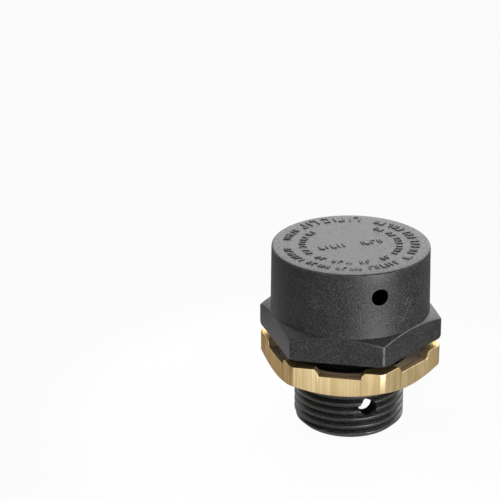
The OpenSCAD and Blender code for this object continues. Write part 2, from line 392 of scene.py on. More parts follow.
class Sheet:
    """The nodes of one material or of the world, with short calls that add and join them."""

    def __init__(self, owner: Union[bpy.types.Material, bpy.types.World]) -> None:
        """Starts with no nodes.

        Args:
            owner: The material or the world.
        """
        owner.use_nodes = True
        self.owner = owner
        self.tree = owner.node_tree
        self.tree.nodes.clear()
        self._place: Union[Socket, None] = None

    def add(self, kind: str, inputs: dict[Union[str, int], Value], **settings: str) -> bpy.types.Node:
        """Adds a node.

        Args:
            kind: Blender's name for the node.
            inputs: Values or other nodes' sockets, by the input's name or number.
            **settings: The node's own settings.

        Returns:
            The node.
        """
        node = self.tree.nodes.new(kind)
        for key, value in settings.items():
            setattr(node, key, value)
        for key, value in inputs.items():
            if isinstance(value, Socket):
                self.tree.links.new(value, node.inputs[key])
            else:
                node.inputs[key].default_value = value
        return node

    def calc(self, operation: str, *values: Value) -> Socket:
        """Result of arithmetic on plain values, such as MAXIMUM or ABSOLUTE."""
        return self.add("ShaderNodeMath", dict(enumerate(values)), operation=operation).outputs[0]

    def vector(self, operation: str, *values: Value) -> bpy.types.Node:
        """Node of arithmetic on vectors, such as MULTIPLY or LENGTH."""
        return self.add("ShaderNodeVectorMath", dict(enumerate(values)), operation=operation)

    def part(self, vector: Socket, axis: str) -> Socket:
        """A vector's part along X, Y or Z."""
        return self.add("ShaderNodeSeparateXYZ", {0: vector}).outputs[axis]

    def towards(self, vector: Socket, direction_deg: float) -> Socket:
        """A vector's part v . (cos a, sin a, 0) along a level direction a, in degrees from +X."""
        turn = math.radians(direction_deg)
        return self.vector("DOT_PRODUCT", vector, (math.cos(turn), math.sin(turn), 0.0)).outputs["Value"]

    @property
    def place(self) -> Socket:
        """The point's place on the piece, in metres, from one node for all that ask.

        Returns:
            The place.
        """
        if self._place is None:
            self._place = self.add("ShaderNodeTexCoord", {}).outputs["Object"]
        return self._place

    def level(self) -> tuple[Socket, Socket]:
        """Distance from the axis and height, in metres."""
        flat = self.vector("MULTIPLY", self.place, (1.0, 1.0, 0.0)).outputs[0]
        return self.vector("LENGTH", flat).outputs["Value"], self.part(self.place, "Z")

    def six_sided(self) -> Socket:
        """Distance from the axis by a hexagon's measure: the largest |p . n| of its directions n."""
        sides = [self.calc("ABSOLUTE", self.towards(self.place, turn)) for turn in (0.0, 60.0, 120.0)]
        return reduce(lambda most, side: self.calc("MAXIMUM", most, side), sides)

    def product(self, *values: Socket) -> Socket:
        """All values multiplied."""
        return reduce(lambda made, value: self.calc("MULTIPLY", made, value), values)

    def near_line(self, start: Triple, end: Triple, width: float) -> Socket:
        """1 on a straight line between two places and 0 at a distance from it.

        The nearest place on the line is start + t (end - start), with t = (p - start) . (end - start) / l^2
        held from 0 to 1, where l is the line's length.

        Args:
            start: The line's start, in millimetres.
            end: Its end, in millimetres.
            width: Distance at which nothing is left of it, in millimetres.

        Returns:
            The value.
        """
        first, along = Vector(start) * MM, (Vector(end) - Vector(start)) * MM
        away = self.vector("SUBTRACT", self.place, first).outputs[0]
        share = self.vector("DOT_PRODUCT", away, along / along.length_squared).outputs["Value"]
        foot = self.vector("MULTIPLY", along, self.remap(share, 0.0, 1.0)).outputs[0]
        return self.below(self.vector("DISTANCE", away, foot).outputs["Value"], 0.3 * width, width)

    def noise(self, scale: float, detail: float = 2.0, stretch: Triple = EVEN) -> Socket:
        """Cloudy noise from 0 to 1.

        Args:
            scale: Number of clouds in a metre.
            detail: Number of finer layers.
            stretch: Scale along each axis.

        Returns:
            The noise.
        """
        place = self.place
        if stretch != EVEN:
            place = self.add("ShaderNodeMapping", {"Vector": place, "Scale": stretch}).outputs["Vector"]
        made = self.add("ShaderNodeTexNoise", {"Vector": place, "Scale": scale, "Detail": detail})
        return made.outputs["Fac"]

    def remap(
        self, value: Socket, low: float, high: float, to_low: float = 0.0, to_high: float = 1.0,
    ) -> Socket:
        """A value carried from the range low to high to another range, and held there."""
        inputs = {"Value": value, "From Min": low, "From Max": high, "To Min": to_low, "To Max": to_high}
        return self.add("ShaderNodeMapRange", inputs).outputs["Result"]

    def fade(self, share: Socket, start: float, end: float) -> Socket:
        """The number start with a share of the number end in it."""
        return self.remap(share, 0.0, 1.0, start, end)

    def above(self, value: Socket, low: float, high: float) -> Socket:
        """0 where a length is under low and 1 where it is over high, both in millimetres."""
        return self.remap(value, low * MM, high * MM)

    def below(self, value: Socket, low: float, high: float) -> Socket:
        """1 where a length is under low and 0 where it is over high, both in millimetres."""
        return self.remap(value, low * MM, high * MM, 1.0, 0.0)

    def sum(self, first: Socket, second: Socket, share: float) -> Socket:
        """First plus second times a share."""
        return self.calc("MULTIPLY_ADD", second, share, first)

    def blend(self, share: Socket, first: Tone, second: Tone) -> Socket:
        """The first colour with a share of the second in it."""
        sides = [(*tone, 1.0) if isinstance(tone, tuple) else tone for tone in (first, second)]
        return self.add("ShaderNodeMix", {0: share, 6: sides[0], 7: sides[1]}, data_type="RGBA").outputs[2]

    def bump(self, height: Socket, depth: float, strength: float = 1.0) -> Socket:
        """Normal that follows a height from 0 to 1, with a share of a relief's depth in millimetres."""
        inputs = {"Height": height, "Distance": depth * MM, "Strength": strength}
        return self.add("ShaderNodeBump", inputs).outputs["Normal"]

    def seen(self, in_gloss: float = 1.0) -> Socket:
        """1 for what the eye sees, straight or through a clear body, a share in reflections and 0 elsewhere.

        Args:
            in_gloss: Value in reflections.

        Returns:
            The value.
        """
        path = self.add("ShaderNodeLightPath", {}).outputs
        straight = self.calc("MAXIMUM", path["Is Camera Ray"], path["Is Transmission Ray"])
        return self.sum(straight, path["Is Glossy Ray"], in_gloss)

    def mixed(self, share: Socket, first: bpy.types.Node, second: bpy.types.Node) -> bpy.types.Node:
        """One shader with a share of another."""
        return self.add("ShaderNodeMixShader", {0: share, 1: first.outputs[0], 2: second.outputs[0]})

    def finish(self, shader: bpy.types.Node) -> Union[bpy.types.Material, bpy.types.World]:
        """Joins a shader to the output.

        Args:
            shader: The node whose first output is shown.

        Returns:
            The material or the world.
        """
        kind = "World" if isinstance(self.owner, bpy.types.World) else "Material"
        self.add(f"ShaderNodeOutput{kind}", {"Surface": shader.outputs[0]})
        return self.owner

    def surface(self, inputs: dict[Union[str, int], Value]) -> bpy.types.Material:
        """Ends the material with one surface shader."""
        return self.finish(self.add("ShaderNodeBsdfPrincipled", inputs))


@dataclass(frozen=True)
class PaintedEdgeHighlight:
    """Painted highlight: upright corners and chamfer edges of a hexagon painted light on the lit side of the
    part, in patches.

    Attributes:
        corner: Distance of the corners from the axis.
        half: Distance of the flats from the axis.
        edge_z: Height of the corners' upper end.
        chamfer_deg: Slope of the chamfer above it.
        facing_deg: Direction of the side with the painted highlight, from +X.
        reach: Distances towards this side at which the painted highlight starts and is full.
        strength: Share of the light colour where it is full.
        width: Width of the highlight's band along an edge.
        fading: Shares of this width at which the highlight starts to fade, and has gone.
        flat_skin: Depths under the flats at which their skin starts, and is full.
        corner_skin: Depths under the sharp corners at which their rounded skin starts, and is full.
        patches: Number of the highlight's patches in a metre.
        patch_tones: Values of the patches' noise at which the rubbing is least, and full.
        least: Share of the highlight that is left between patches.
    """

    corner: float
    half: float
    edge_z: float
    chamfer_deg: float
    facing_deg: float = -58.0
    reach: Pair = (11.8, 13.8)
    strength: float = 0.6
    width: float = 0.13
    fading: Pair = (0.4, 1.3)
    flat_skin: Pair = (0.2, 0.12)
    corner_skin: Pair = (0.17, 0.1)
    patches: float = 900.0
    patch_tones: Pair = (0.3, 0.55)
    least: float = 0.35

    def share(self, sheet: Sheet) -> Socket:
        """1 on the edges with the painted highlight and 0 elsewhere.

        The chamfer's edge lies at z = edge_z + (corner - r) tan(slope) on the flats, where r is the distance
        from the axis. The upright corners lie where r is close to the corners' distance.

        Args:
            sheet: The material's nodes.

        Returns:
            The value.
        """
        radius, height = sheet.level()
        slope = math.tan(math.radians(self.chamfer_deg))
        middle = (self.edge_z + self.corner * slope) * MM
        off = sheet.calc("ABSOLUTE", sheet.calc("SUBTRACT", sheet.sum(height, radius, slope), middle))
        ridge = sheet.product(
            sheet.below(off, *(share * self.width for share in self.fading)),
            sheet.above(sheet.six_sided(), *(self.half - depth for depth in self.flat_skin)),
        )
        upright = sheet.product(
            sheet.above(radius, *(self.corner - depth for depth in self.corner_skin)),
            sheet.below(height, self.edge_z, self.edge_z + self.width),
        )
        side = sheet.above(sheet.towards(sheet.place, self.facing_deg), *self.reach)
        return sheet.product(
            sheet.calc("MAXIMUM", ridge, upright),
            sheet.calc("MULTIPLY", side, self.strength),
            sheet.remap(sheet.noise(self.patches), *self.patch_tones, self.least, 1.0),
        )


@dataclass(frozen=True)
class MouldedNylon:
    """Black glass-filled nylon: a matte, finely grained skin with pale fibre ends in it.

    Attributes:
        name: Name of the material.
        dark: Colour of the skin's darker clouds.
        light: Colour of its lighter clouds.
        fibre: Colour of the fibre ends.
        edge_highlight_colour: Colour of the painted highlight on the hexagon's edges.
        scratched: Colour of scratches.
        roughness: Mean roughness.
        rough_spread: Most by which the roughness differs from it.
        gloss: Specular level of the skin.
        grain: Number of grains in a metre.
        cloud: Number of grains across a cloud.
        cloud_share: Share of the clouds in the tone.
        fine: Number of finer pits to a grain.
        fine_share: Share of these pits in the relief.
        contrast: Values of the grain's noise at which the skin is dark, and light.
        relief: Depth of the grain in millimetres.
        fibre_ends: Number of fibre ends to a grain, along a line.
        bald_patches: Number of patches without fibre ends to a grain.
        hollow: Radius, lowest and highest height of the inside that is painted black with no gloss as painted
            shade, or nothing.
        black_shade_edge: Width of the painted shade's border, inwards and upright.
        scratches: Start, end and width of light scratches.
        edge_highlight: Edges with a painted highlight on the lit side, or nothing.
    """

    name: str
    dark: Colour = BLACK
    light: Colour = (0.042, 0.0416, 0.041)
    fibre: Colour = (0.12, 0.12, 0.117)
    edge_highlight_colour: Colour = (0.12, 0.12, 0.117)
    scratched: Colour = (0.07, 0.07, 0.068)
    roughness: float = 0.43
    rough_spread: float = 0.07
    gloss: float = 0.37
    grain: float = 3900.0
    cloud: float = 12.0
    cloud_share: float = 0.15
    fine: float = 2.3
    fine_share: float = 0.5
    contrast: Pair = (0.52, 0.86)
    relief: float = 0.065
    fibre_ends: float = 0.8
    bald_patches: float = 0.3
    hollow: Union[Triple, None] = None
    black_shade_edge: Pair = (0.25, 0.3)
    scratches: tuple[Scratch, ...] = ()
    edge_highlight: Union[PaintedEdgeHighlight, None] = None

    def material(self) -> bpy.types.Material:
        """Makes the material: clouded skin, fibre ends, scratches and painted highlight and shade, one over
        another.

        Returns:
            The material.
        """
        sheet = Sheet(bpy.data.materials.new(self.name))
        grain = sheet.noise(self.grain, detail=3.0)
        clouded = sheet.sum(grain, sheet.noise(self.grain / self.cloud), self.cloud_share)
        skin = sheet.blend(sheet.remap(clouded, *self.contrast), self.dark, self.light)
        colour = sheet.blend(self.fibres(sheet), skin, self.fibre)
        for start, end, width in self.scratches:
            colour = sheet.blend(sheet.near_line(start, end, width), colour, self.scratched)
        # painted highlight: the hexagon's edges are painted lighter on the lit side
        if self.edge_highlight:
            colour = sheet.blend(self.edge_highlight.share(sheet), colour, self.edge_highlight_colour)
        gloss: Value = self.gloss
        # painted shade: inside the hollow the colour is black and the gloss none
        if self.hollow:
            shade = self.inside(sheet)
            colour = sheet.blend(shade, colour, BLACK)
            gloss = sheet.fade(shade, self.gloss, 0.0)
        low, high = self.roughness - self.rough_spread, self.roughness + self.rough_spread
        fine = sheet.noise(self.grain * self.fine)
        return sheet.surface({
            "Base Color": colour,
            "Roughness": sheet.remap(grain, *NOISE, low, high),
            "Specular IOR Level": gloss,
            "Normal": sheet.bump(sheet.sum(grain, fine, self.fine_share), self.relief, 0.8),
        })

    def fibres(self, sheet: Sheet) -> Socket:
        """1 on the fibre ends, which lie in the middles of small cells and are left out in part of the skin.

        Args:
            sheet: The material's nodes.

        Returns:
            The value.
        """
        inputs = {"Vector": sheet.place, "Scale": self.grain * self.fibre_ends}
        cells = sheet.add("ShaderNodeTexVoronoi", inputs)
        sparse = sheet.remap(sheet.noise(self.grain * self.bald_patches), 0.5, 0.7, 0.0, 0.2)
        return sheet.remap(sheet.sum(cells.outputs["Distance"], sparse, -1.0), 0.1, -0.15)

    def inside(self, sheet: Sheet) -> Socket:
        """1 inside the hollow, where the black is painted shade, and 0 on the outer faces.

        Args:
            sheet: The material's nodes.

        Returns:
            The value.
        """
        edge, low, high = self.hollow
        inwards, upright = self.black_shade_edge
        radius, height = sheet.level()
        return sheet.product(
            sheet.below(radius, edge - inwards, edge),
            sheet.below(height, high, high + upright),
            sheet.above(height, low - upright, low),
        )


@dataclass(frozen=True)
class DrawnBrass:
    """Brass cut from drawn bar: fine lines along the bar on the flats, turning marks on faces across it.

    Attributes:
        name: Name of the material.
        dull: Colour in the darker lines.
        bright: Colour in the brighter lines.
        glancing: Colour that it keeps at a glancing view.
        painted_shade_brown: Colour of the slots' floors: brown painted shade, for their shadow and the dark
            underside that they reflect.
        shaded: Colour of the dish's and the slots' walls: darker painted shade.
        left_floor_shade: Colour of the slots' floors on the side of -X: darker painted shade on that side.
        left_floor_shade_x: Places on X at which this colour ends and the plain one starts.
        painted_bounce: Colour of the dish's own floor, which lies below the slots: lighter painted brown for
            light bounced into it.
        painted_bounce_z: Height under which this floor lies.
        turned: Share of each colour that the turned corners keep, which makes them darker and paler: painted
            highlight.
        left_flat_shade: Share of each colour that the flat on the side of -X keeps: painted shade for the
            darker surroundings it reflects.
        left_corner_shade: Share of each colour that the turned corners beside this flat keep, as painted
            shade.
        left_shade_x: Place on X of this painted shade's edge.
        flats: Width across the flats in millimetres.
        corner_r: Distance of the turned corners from the axis.
        corner_w: Width of the band along them that is left bare of the painted shade.
        corner_edge: Depths under the flats at which a turned corner is full, and gives way to the flat.
        shade_edge: Depths under the flats at which the painted shade is full, and ends.
        shade_top: Depths under the teeth's upper faces at which the painted shade is full, and ends.
        soft: Width of the other borders between colours.
        low: Height from which the inside is painted with shade.
        top: Height of the teeth's upper faces.
        floor_tilt: Upright parts of a face's direction at which it counts as a wall, and as a floor.
        ring_tilt: The same at which it has drawn lines, and turning rings.
        roughness: Mean roughness.
        rough_spread: Most by which the roughness differs from it.
        lines: Number of fine lines in a metre.
        rings: Number of turning rings to a line.
        ripples: Number of ripples in a metre on turned faces.
        clouds: Number of clouds in a metre.
        cloud_share: Share of the clouds in the tone.
        tones: Heights of marks and clouds at which the colour is dull, and bright.
        relief: Depth of the lines in millimetres.
    """

    name: str
    dull: Colour = (0.58, 0.43, 0.205)
    bright: Colour = (0.86, 0.675, 0.38)
    glancing: Colour = (0.2, 0.19, 0.24)
    painted_shade_brown: Colour = (0.28, 0.188, 0.105)
    shaded: Colour = (0.12, 0.08, 0.045)
    left_floor_shade: Colour = (0.13, 0.088, 0.048)
    left_floor_shade_x: Pair = (-11.0, -7.0)
    painted_bounce: Colour = (0.5, 0.365, 0.22)
    painted_bounce_z: float = 14.2
    turned: Colour = (0.85, 0.88, 1.08)
    left_flat_shade: Colour = (0.92, 0.87, 0.83)
    left_corner_shade: Colour = (0.55, 0.47, 0.4)
    left_shade_x: float = -13.8
    flats: float = 28.8
    corner_r: float = 16.36
    corner_w: float = 0.4
    corner_edge: Pair = (0.06, 0.01)
    shade_edge: Pair = (0.15, 0.05)
    shade_top: Pair = (0.1, 0.04)
    soft: float = 0.1
    low: float = 11.3
    top: float = 15.9
    floor_tilt: Pair = (0.85, 0.97)
    ring_tilt: Pair = (0.6, 0.8)
    roughness: float = 0.38
    rough_spread: float = 0.06
    lines: float = 4200.0
    rings: float = 1.6
    ripples: float = 700.0
    clouds: float = 330.0
    cloud_share: float = 0.35
    tones: Pair = (0.95, 1.4)
    relief: float = 0.012

    def material(self) -> bpy.types.Material:
        """Makes the material: bare metal outside, painted darker to one side, and brown painted shade in dish
        and slots.

        Returns:
            The material.
        """
        sheet = Sheet(bpy.data.materials.new(self.name))
        radius, height = sheet.level()
        six, side = sheet.six_sided(), sheet.part(sheet.place, "X")
        facing = sheet.add("ShaderNodeNewGeometry", {}).outputs["Normal"]
        upward = sheet.calc("ABSOLUTE", sheet.part(facing, "Z"))
        marks = self.marks(sheet, radius, upward)
        half, inner = self.flats / 2, self.corner_r - self.corner_w
        # painted shade: the dish and the slots are painted a dull brown, not metal
        painted_shade_share = sheet.product(
            sheet.below(six, *(half - depth for depth in self.shade_edge)),
            sheet.below(radius, inner - self.soft, inner),
            sheet.below(height, *(self.top - depth for depth in self.shade_top)),
            sheet.above(height, self.low, self.low + self.soft),
        )
        # painted highlight: the turned corners are tinted paler
        corners = sheet.product(
            sheet.below(six, *(half - depth for depth in self.corner_edge)),
            sheet.above(radius, inner - self.soft, inner),
        )
        # painted shade: the flat and the corners on the side of -X are darker
        unshaded_side = sheet.above(side, self.left_shade_x - self.soft, self.left_shade_x)
        painted_tint = sheet.blend(
            corners,
            sheet.blend(unshaded_side, self.left_flat_shade, WHITE),
            sheet.blend(unshaded_side, self.left_corner_shade, self.turned),
        )
        tone = sheet.sum(marks, sheet.noise(self.clouds, detail=3.0), self.cloud_share)
        bare = sheet.blend(sheet.remap(tone, *self.tones), self.dull, self.bright)
        bare = sheet.vector("MULTIPLY", bare, painted_tint).outputs[0]
        # painted shade: the floors are darker on the side of -X
        floors = sheet.blend(sheet.above(side, *self.left_floor_shade_x), self.left_floor_shade, self.painted_shade_brown)
        # painted light: the dish's own floor is painted lighter, for light bounced into it
        painted_bounce_share = sheet.above(height, self.painted_bounce_z - self.soft, self.painted_bounce_z)
        floors = sheet.blend(painted_bounce_share, self.painted_bounce, floors)
        # painted shade: the walls are darker than the floors
        brown = sheet.blend(sheet.remap(upward, *self.floor_tilt), self.shaded, floors)
        roughest, smoothest = self.roughness + self.rough_spread, self.roughness - self.rough_spread
        rough = sheet.remap(marks, 0.6, 1.1, roughest, smoothest)
        # the painted shade is not metal, with little gloss and more roughness
        return sheet.surface({
            "Base Color": sheet.blend(painted_shade_share, bare, brown),
            "Metallic": sheet.fade(painted_shade_share, 1.0, 0.0),
            "Specular IOR Level": sheet.fade(painted_shade_share, 0.5, 0.15),
            "Specular Tint": (*self.glancing, 1.0),
            "Roughness": sheet.sum(rough, painted_shade_share, 0.2),
            "Normal": sheet.bump(marks, self.relief, 0.5),
        })

    def marks(self, sheet: Sheet, radius: Socket, upward: Socket) -> Socket:
        """Machining marks: upright lines, and rings round the axis on faces that look up or down.

        Args:
            sheet: The material's nodes.
            radius: Distance from the axis, in metres.
            upward: Share of the face's direction that is upright.

        Returns:
            Height of the marks, about 1 in the middle.
        """
        drawn = sheet.sum(
            sheet.noise(self.lines, detail=3.0, stretch=(1.0, 1.0, 0.015)),
            sheet.noise(self.lines / 5.5, stretch=(1.0, 1.0, 0.03)),
            1.0,
        )
        inputs = {"W": radius, "Scale": self.lines * self.rings, "Detail": 3.0}
        rings = sheet.add("ShaderNodeTexNoise", inputs, noise_dimensions="1D").outputs["Fac"]
        turned = sheet.sum(rings, sheet.noise(self.ripples), 0.7)
        inputs = {0: sheet.remap(upward, *self.ring_tilt), 2: drawn, 3: turned}
        return sheet.add("ShaderNodeMix", inputs, data_type="FLOAT").outputs[0]


@dataclass(frozen=True)
class NitrileRubber:
    """Black rubber with a faint bloom.

    Attributes:
        name: Name of the material.
        dark: Colour of the rubber.
        bloom: Colour of the bloom.
        roughness: Roughness of the rubber, and of the bloom.
        clouds: Number of clouds of bloom in a metre.
        pits: Number of pits in a metre.
        relief: Depth of the pits in millimetres.
    """

    name: str
    dark: Colour = (0.012, 0.012, 0.012)
    bloom: Colour = (0.03, 0.03, 0.03)
    roughness: Pair = (0.47, 0.65)
    clouds: float = 900.0
    pits: float = 6000.0
    relief: float = 0.02

    def material(self) -> bpy.types.Material:
        """Makes the material: cloudy bloom on a finely pitted skin.

        Returns:
            The material.
        """
        sheet = Sheet(bpy.data.materials.new(self.name))
        bloom = sheet.noise(self.clouds, detail=4.0)
        return sheet.surface({
            "Base Color": sheet.blend(sheet.remap(bloom, 0.4, 0.7), self.dark, self.bloom),
            "Roughness": sheet.remap(bloom, *NOISE, *self.roughness),
            "Normal": sheet.bump(sheet.noise(self.pits), self.relief, 0.4),
        })


@dataclass(frozen=True)
class SinteredBronze:
    """Porous bronze: round grains with dark pores between them.

    Attributes:
        name: Name of the material.
        grain_colour: Colour of the grains.
        pore_colour: Colour of the pores.
        grains: Number of grains in a metre.
        pore_start: Distances from a grain's middle at which its pore starts, and is full.
        roughness: Roughness of the grains, and of the pores.
        relief: Depth of the pores in millimetres.
    """

    name: str
    grain_colour: Colour = (0.48, 0.30, 0.14)
    pore_colour: Colour = (0.05, 0.03, 0.018)
    grains: float = 3600.0
    pore_start: Pair = (0.35, 0.75)
    roughness: Pair = (0.42, 0.75)
    relief: float = 0.08

    def material(self) -> bpy.types.Material:
        """Makes the material: each cell is a grain, and the pores lie where cells meet.

        Returns:
            The material.
        """
        sheet = Sheet(bpy.data.materials.new(self.name))
        cells = sheet.add("ShaderNodeTexVoronoi", {"Vector": sheet.place, "Scale": self.grains})
        pores = sheet.remap(cells.outputs["Distance"], *self.pore_start)
        return sheet.surface({
            "Base Color": sheet.blend(pores, self.grain_colour, self.pore_colour),
            "Metallic": 1.0,
            "Roughness": sheet.fade(pores, *self.roughness),
            "Normal": sheet.bump(sheet.fade(pores, 1.0, 0.0), self.relief, 0.9),
        })


@dataclass(frozen=True)
class FloorPaint:
    """Plain white floor that shows white to the camera and keeps a soft shadow.

    The paint that light and reflections meet is painted darker to the sides and behind the part, as painted
    shade that darkens the floor in the part's reflections.

    Attributes:
        name: Name of the material.
        white: Colour of the bright part of the floor.
        dim_left: Painted shade where it has fallen off, on the side of -X.
        dim_right: Painted shade where it has fallen off, on the side of +X.
        near: Distance from the axis up to which it doesn't fall off, and from which it does, in millimetres.
        near_right: Painted shade close to the part on the side of +X.
        sides: Parts along X of a direction at which the colour far off is the left one, and the right one.
        near_sides: The same for the colour close to the part.
        front_deg: Direction of the bright part, from +X.
        spread: Cosine of the angle from this direction at which it has fallen off, and at which it is bright.
        own_light: Share of plain white that the camera sees whatever falls on the floor.
        in_gloss: Share of this that reflections see.
    """

    name: str
    white: Colour = (0.9, 0.9, 0.9)
    dim_left: Colour = (0.25, 0.25, 0.25)
    dim_right: Colour = (0.2, 0.2, 0.2)
    near: Pair = (44.0, 62.0)
    near_right: Colour = (0.45, 0.45, 0.45)
    sides: Pair = (-0.5, 0.7)
    near_sides: Pair = (0.0, 0.8)
    front_deg: float = -98.0
    spread: Pair = (0.15, 0.8)
    own_light: float = 0.95
    in_gloss: float = 0.12

    def material(self) -> bpy.types.Material:
        """Makes the material: paint, and for the eye a share of plain white. It is clear from below.

        Returns:
            The material.
        """
        sheet = Sheet(bpy.data.materials.new(self.name))
        away = sheet.vector("NORMALIZE", sheet.place).outputs[0]
        across, ahead = sheet.part(away, "X"), sheet.towards(away, self.front_deg)
        radius, _ = sheet.level()
        # painted shade: the floor is darker to the sides, behind the part and close to it on +X
        dim = sheet.blend(sheet.remap(across, *self.sides), self.dim_left, self.dim_right)
        far = sheet.blend(sheet.remap(ahead, *self.spread), dim, self.white)
        close = sheet.blend(sheet.remap(across, *self.near_sides), self.white, self.near_right)
        tone = sheet.blend(sheet.above(radius, *self.near), close, far)
        paint = sheet.add("ShaderNodeBsdfDiffuse", {"Color": tone})
        white = sheet.add("ShaderNodeEmission", {"Color": (*WHITE, 1.0), "Strength": 1.0})
        share = sheet.calc("MULTIPLY", sheet.seen(self.in_gloss), self.own_light)
        below = sheet.add("ShaderNodeNewGeometry", {}).outputs["Backfacing"]
        clear = sheet.add("ShaderNodeBsdfTransparent", {})
        return sheet.finish(sheet.mixed(below, sheet.mixed(share, paint, white), clear))


Finish = Union[MouldedNylon, DrawnBrass, NitrileRubber, SinteredBronze]


# Studio: camera, lamps, world and floor


@dataclass(frozen=True)
class ViewCamera:
    """Camera at the photograph's viewing angle.

    Attributes:
        lens: Focal length for a sensor 36 mm wide.
        distance: Distance from the point that it was aimed at first.
        aim_height: Height of that point on the axis, at the hexagon's underside.
        elevation: Angle above the horizon.
        turn: Angle round the axis, from straight in front.
        pan: Turn of the camera about its own upright axis.
        tilt: Turn of the camera about its own level axis.
        roll: Turn of the camera about its line of sight.
    """

    lens: float = 133.19
    distance: float = 336.474
    aim_height: float = 17.3
    elevation: float = 24.996
    turn: float = -21.35
    pan: float = 3.123
    tilt: float = 2.423
    roll: float = 0.987

    def build(self) -> Piece:
        """Makes the camera and gives it to the scene.

        Returns:
            The camera.
        """
        rise = math.radians(self.elevation)
        back = Vector((0.0, -math.cos(rise), math.sin(rise)))
        right = Vector((1.0, 0.0, 0.0))
        axes = Matrix((right, back.cross(right), back)).transposed()
        for angle, axis in ((self.pan, "Y"), (self.tilt, "X"), (self.roll, "Z")):
            axes = axes @ Matrix.Rotation(math.radians(angle), 3, axis)
        round_axis = Matrix.Rotation(math.radians(self.turn), 3, "Z")
        place = round_axis @ back * (self.distance * MM) + Vector((0.0, 0.0, self.aim_height * MM))
        data = bpy.data.cameras.new("view_camera")
        data.sensor_width = 36.0
        data.lens = self.lens
        data.clip_start, data.clip_end = 0.01, 20.0
        camera = bpy.data.objects.new("view_camera", data)
        camera.matrix_world = Matrix.Translation(place) @ (round_axis @ axes).to_4x4()
        bpy.context.scene.collection.objects.link(camera)
        bpy.context.scene.camera = camera
        return camera


@dataclass(frozen=True)
class SoftBox:
    """A flat oblong white lamp that looks at the part.

    Attributes:
        name: Name of the lamp.
        azimuth: Direction from the part, from +X, in degrees.
        elevation: Height above the horizon, in degrees.
        distance: Distance in metres.
        width: Width in metres.
        height: Height in metres.
        power: Power in watts.
    """

    name: str
    azimuth: float
    elevation: float
    distance: float
    width: float
    height: float
    power: float

    def build(self, aim: Vector) -> Piece:
        """Makes the lamp.

        Args:
            aim: Point that it looks at.

        Returns:
            The lamp.
        """
        turn, rise = math.radians(self.azimuth), math.radians(self.elevation)
        away = Vector((math.cos(turn) * math.cos(rise), math.sin(turn) * math.cos(rise), math.sin(rise)))
        data = bpy.data.lights.new(self.name, "AREA")
        data.shape = "RECTANGLE"
        data.size, data.size_y = self.width, self.height
        data.energy = self.power
        lamp = bpy.data.objects.new(self.name, data)
        lamp.rotation_euler = (-away).to_track_quat("-Z", "Y").to_euler()
        lamp.location = aim + away * self.distance
        lamp.visible_camera = False
        bpy.context.scene.collection.objects.link(lamp)
        return lamp


@dataclass(frozen=True)
class Studio:
    """White floor, white surroundings and soft lamps.

    Attributes:
        floor_radius: Radius of the floor in metres.
        floor_z: Height of the floor in millimetres, just under the part.
        floor_cells: Number of rings and of columns of the floor.
        ambient: Strength of the surroundings' light on matte surfaces.
        aim_z: Height of the point on the axis that the lamps look at, in millimetres.
        lamps: The soft boxes.
    """

    floor_radius: float = 3.0
    floor_z: float = -0.02
    floor_cells: tuple[int, int] = (12, 64)
    ambient: float = 0.45
    aim_z: float = 17.0
    lamps: tuple[SoftBox, ...] = (
        SoftBox("back_box", azimuth=57.0, elevation=22.0, distance=0.9, width=1.0, height=0.5, power=5.1),
        SoftBox("top_box", azimuth=75.0, elevation=60.0, distance=0.9, width=0.9, height=0.4, power=2.5),
        SoftBox("key_box", azimuth=-76.0, elevation=0.0, distance=0.8, width=0.2, height=0.03, power=7.2),
        SoftBox("fill_box", azimuth=-105.0, elevation=38.0, distance=0.9, width=0.4, height=0.3, power=1.7),
        SoftBox("side_box", azimuth=-16.0, elevation=28.0, distance=0.9, width=0.3, height=0.3, power=1.5),
    )

    def build(self) -> None:
        """Makes the floor, the world and the lamps, and sets how colours are shown."""
        self.build_floor()
        self.build_world()
        for lamp in self.lamps:
            lamp.build(Vector((0.0, 0.0, self.aim_z * MM)))
        bpy.context.scene.view_settings.view_transform = "Standard"
        log.info("studio: %d lamps", len(self.lamps))

    def build_floor(self) -> None:
        """Makes the floor: level rings r = R t^2 round the part."""
        rings, columns = self.floor_cells
        radius = np.linspace(0.0, 1.0, rings + 1)[::-1, None] ** 2 * self.floor_radius / MM
        skin = Skin()
        skin.add(polar(radius, np.linspace(0.0, 2.0 * np.pi, columns, endpoint=False)[None, :], self.floor_z))
        floor = skin.build("floor")
        floor.data.materials.append(FloorPaint("floor_paint").material())

    def build_world(self) -> None:
        """Makes the surroundings: white to the eye and in reflections, dimmer as light on matte surfaces."""
        world = bpy.data.worlds.new("surroundings")
        bpy.context.scene.world = world
        sheet = Sheet(world)
        strength = sheet.fade(sheet.seen(), self.ambient, 1.0)
        sheet.finish(sheet.add("ShaderNodeBackground", {"Color": (*WHITE, 1.0), "Strength": strength}))


# The plug's own pieces


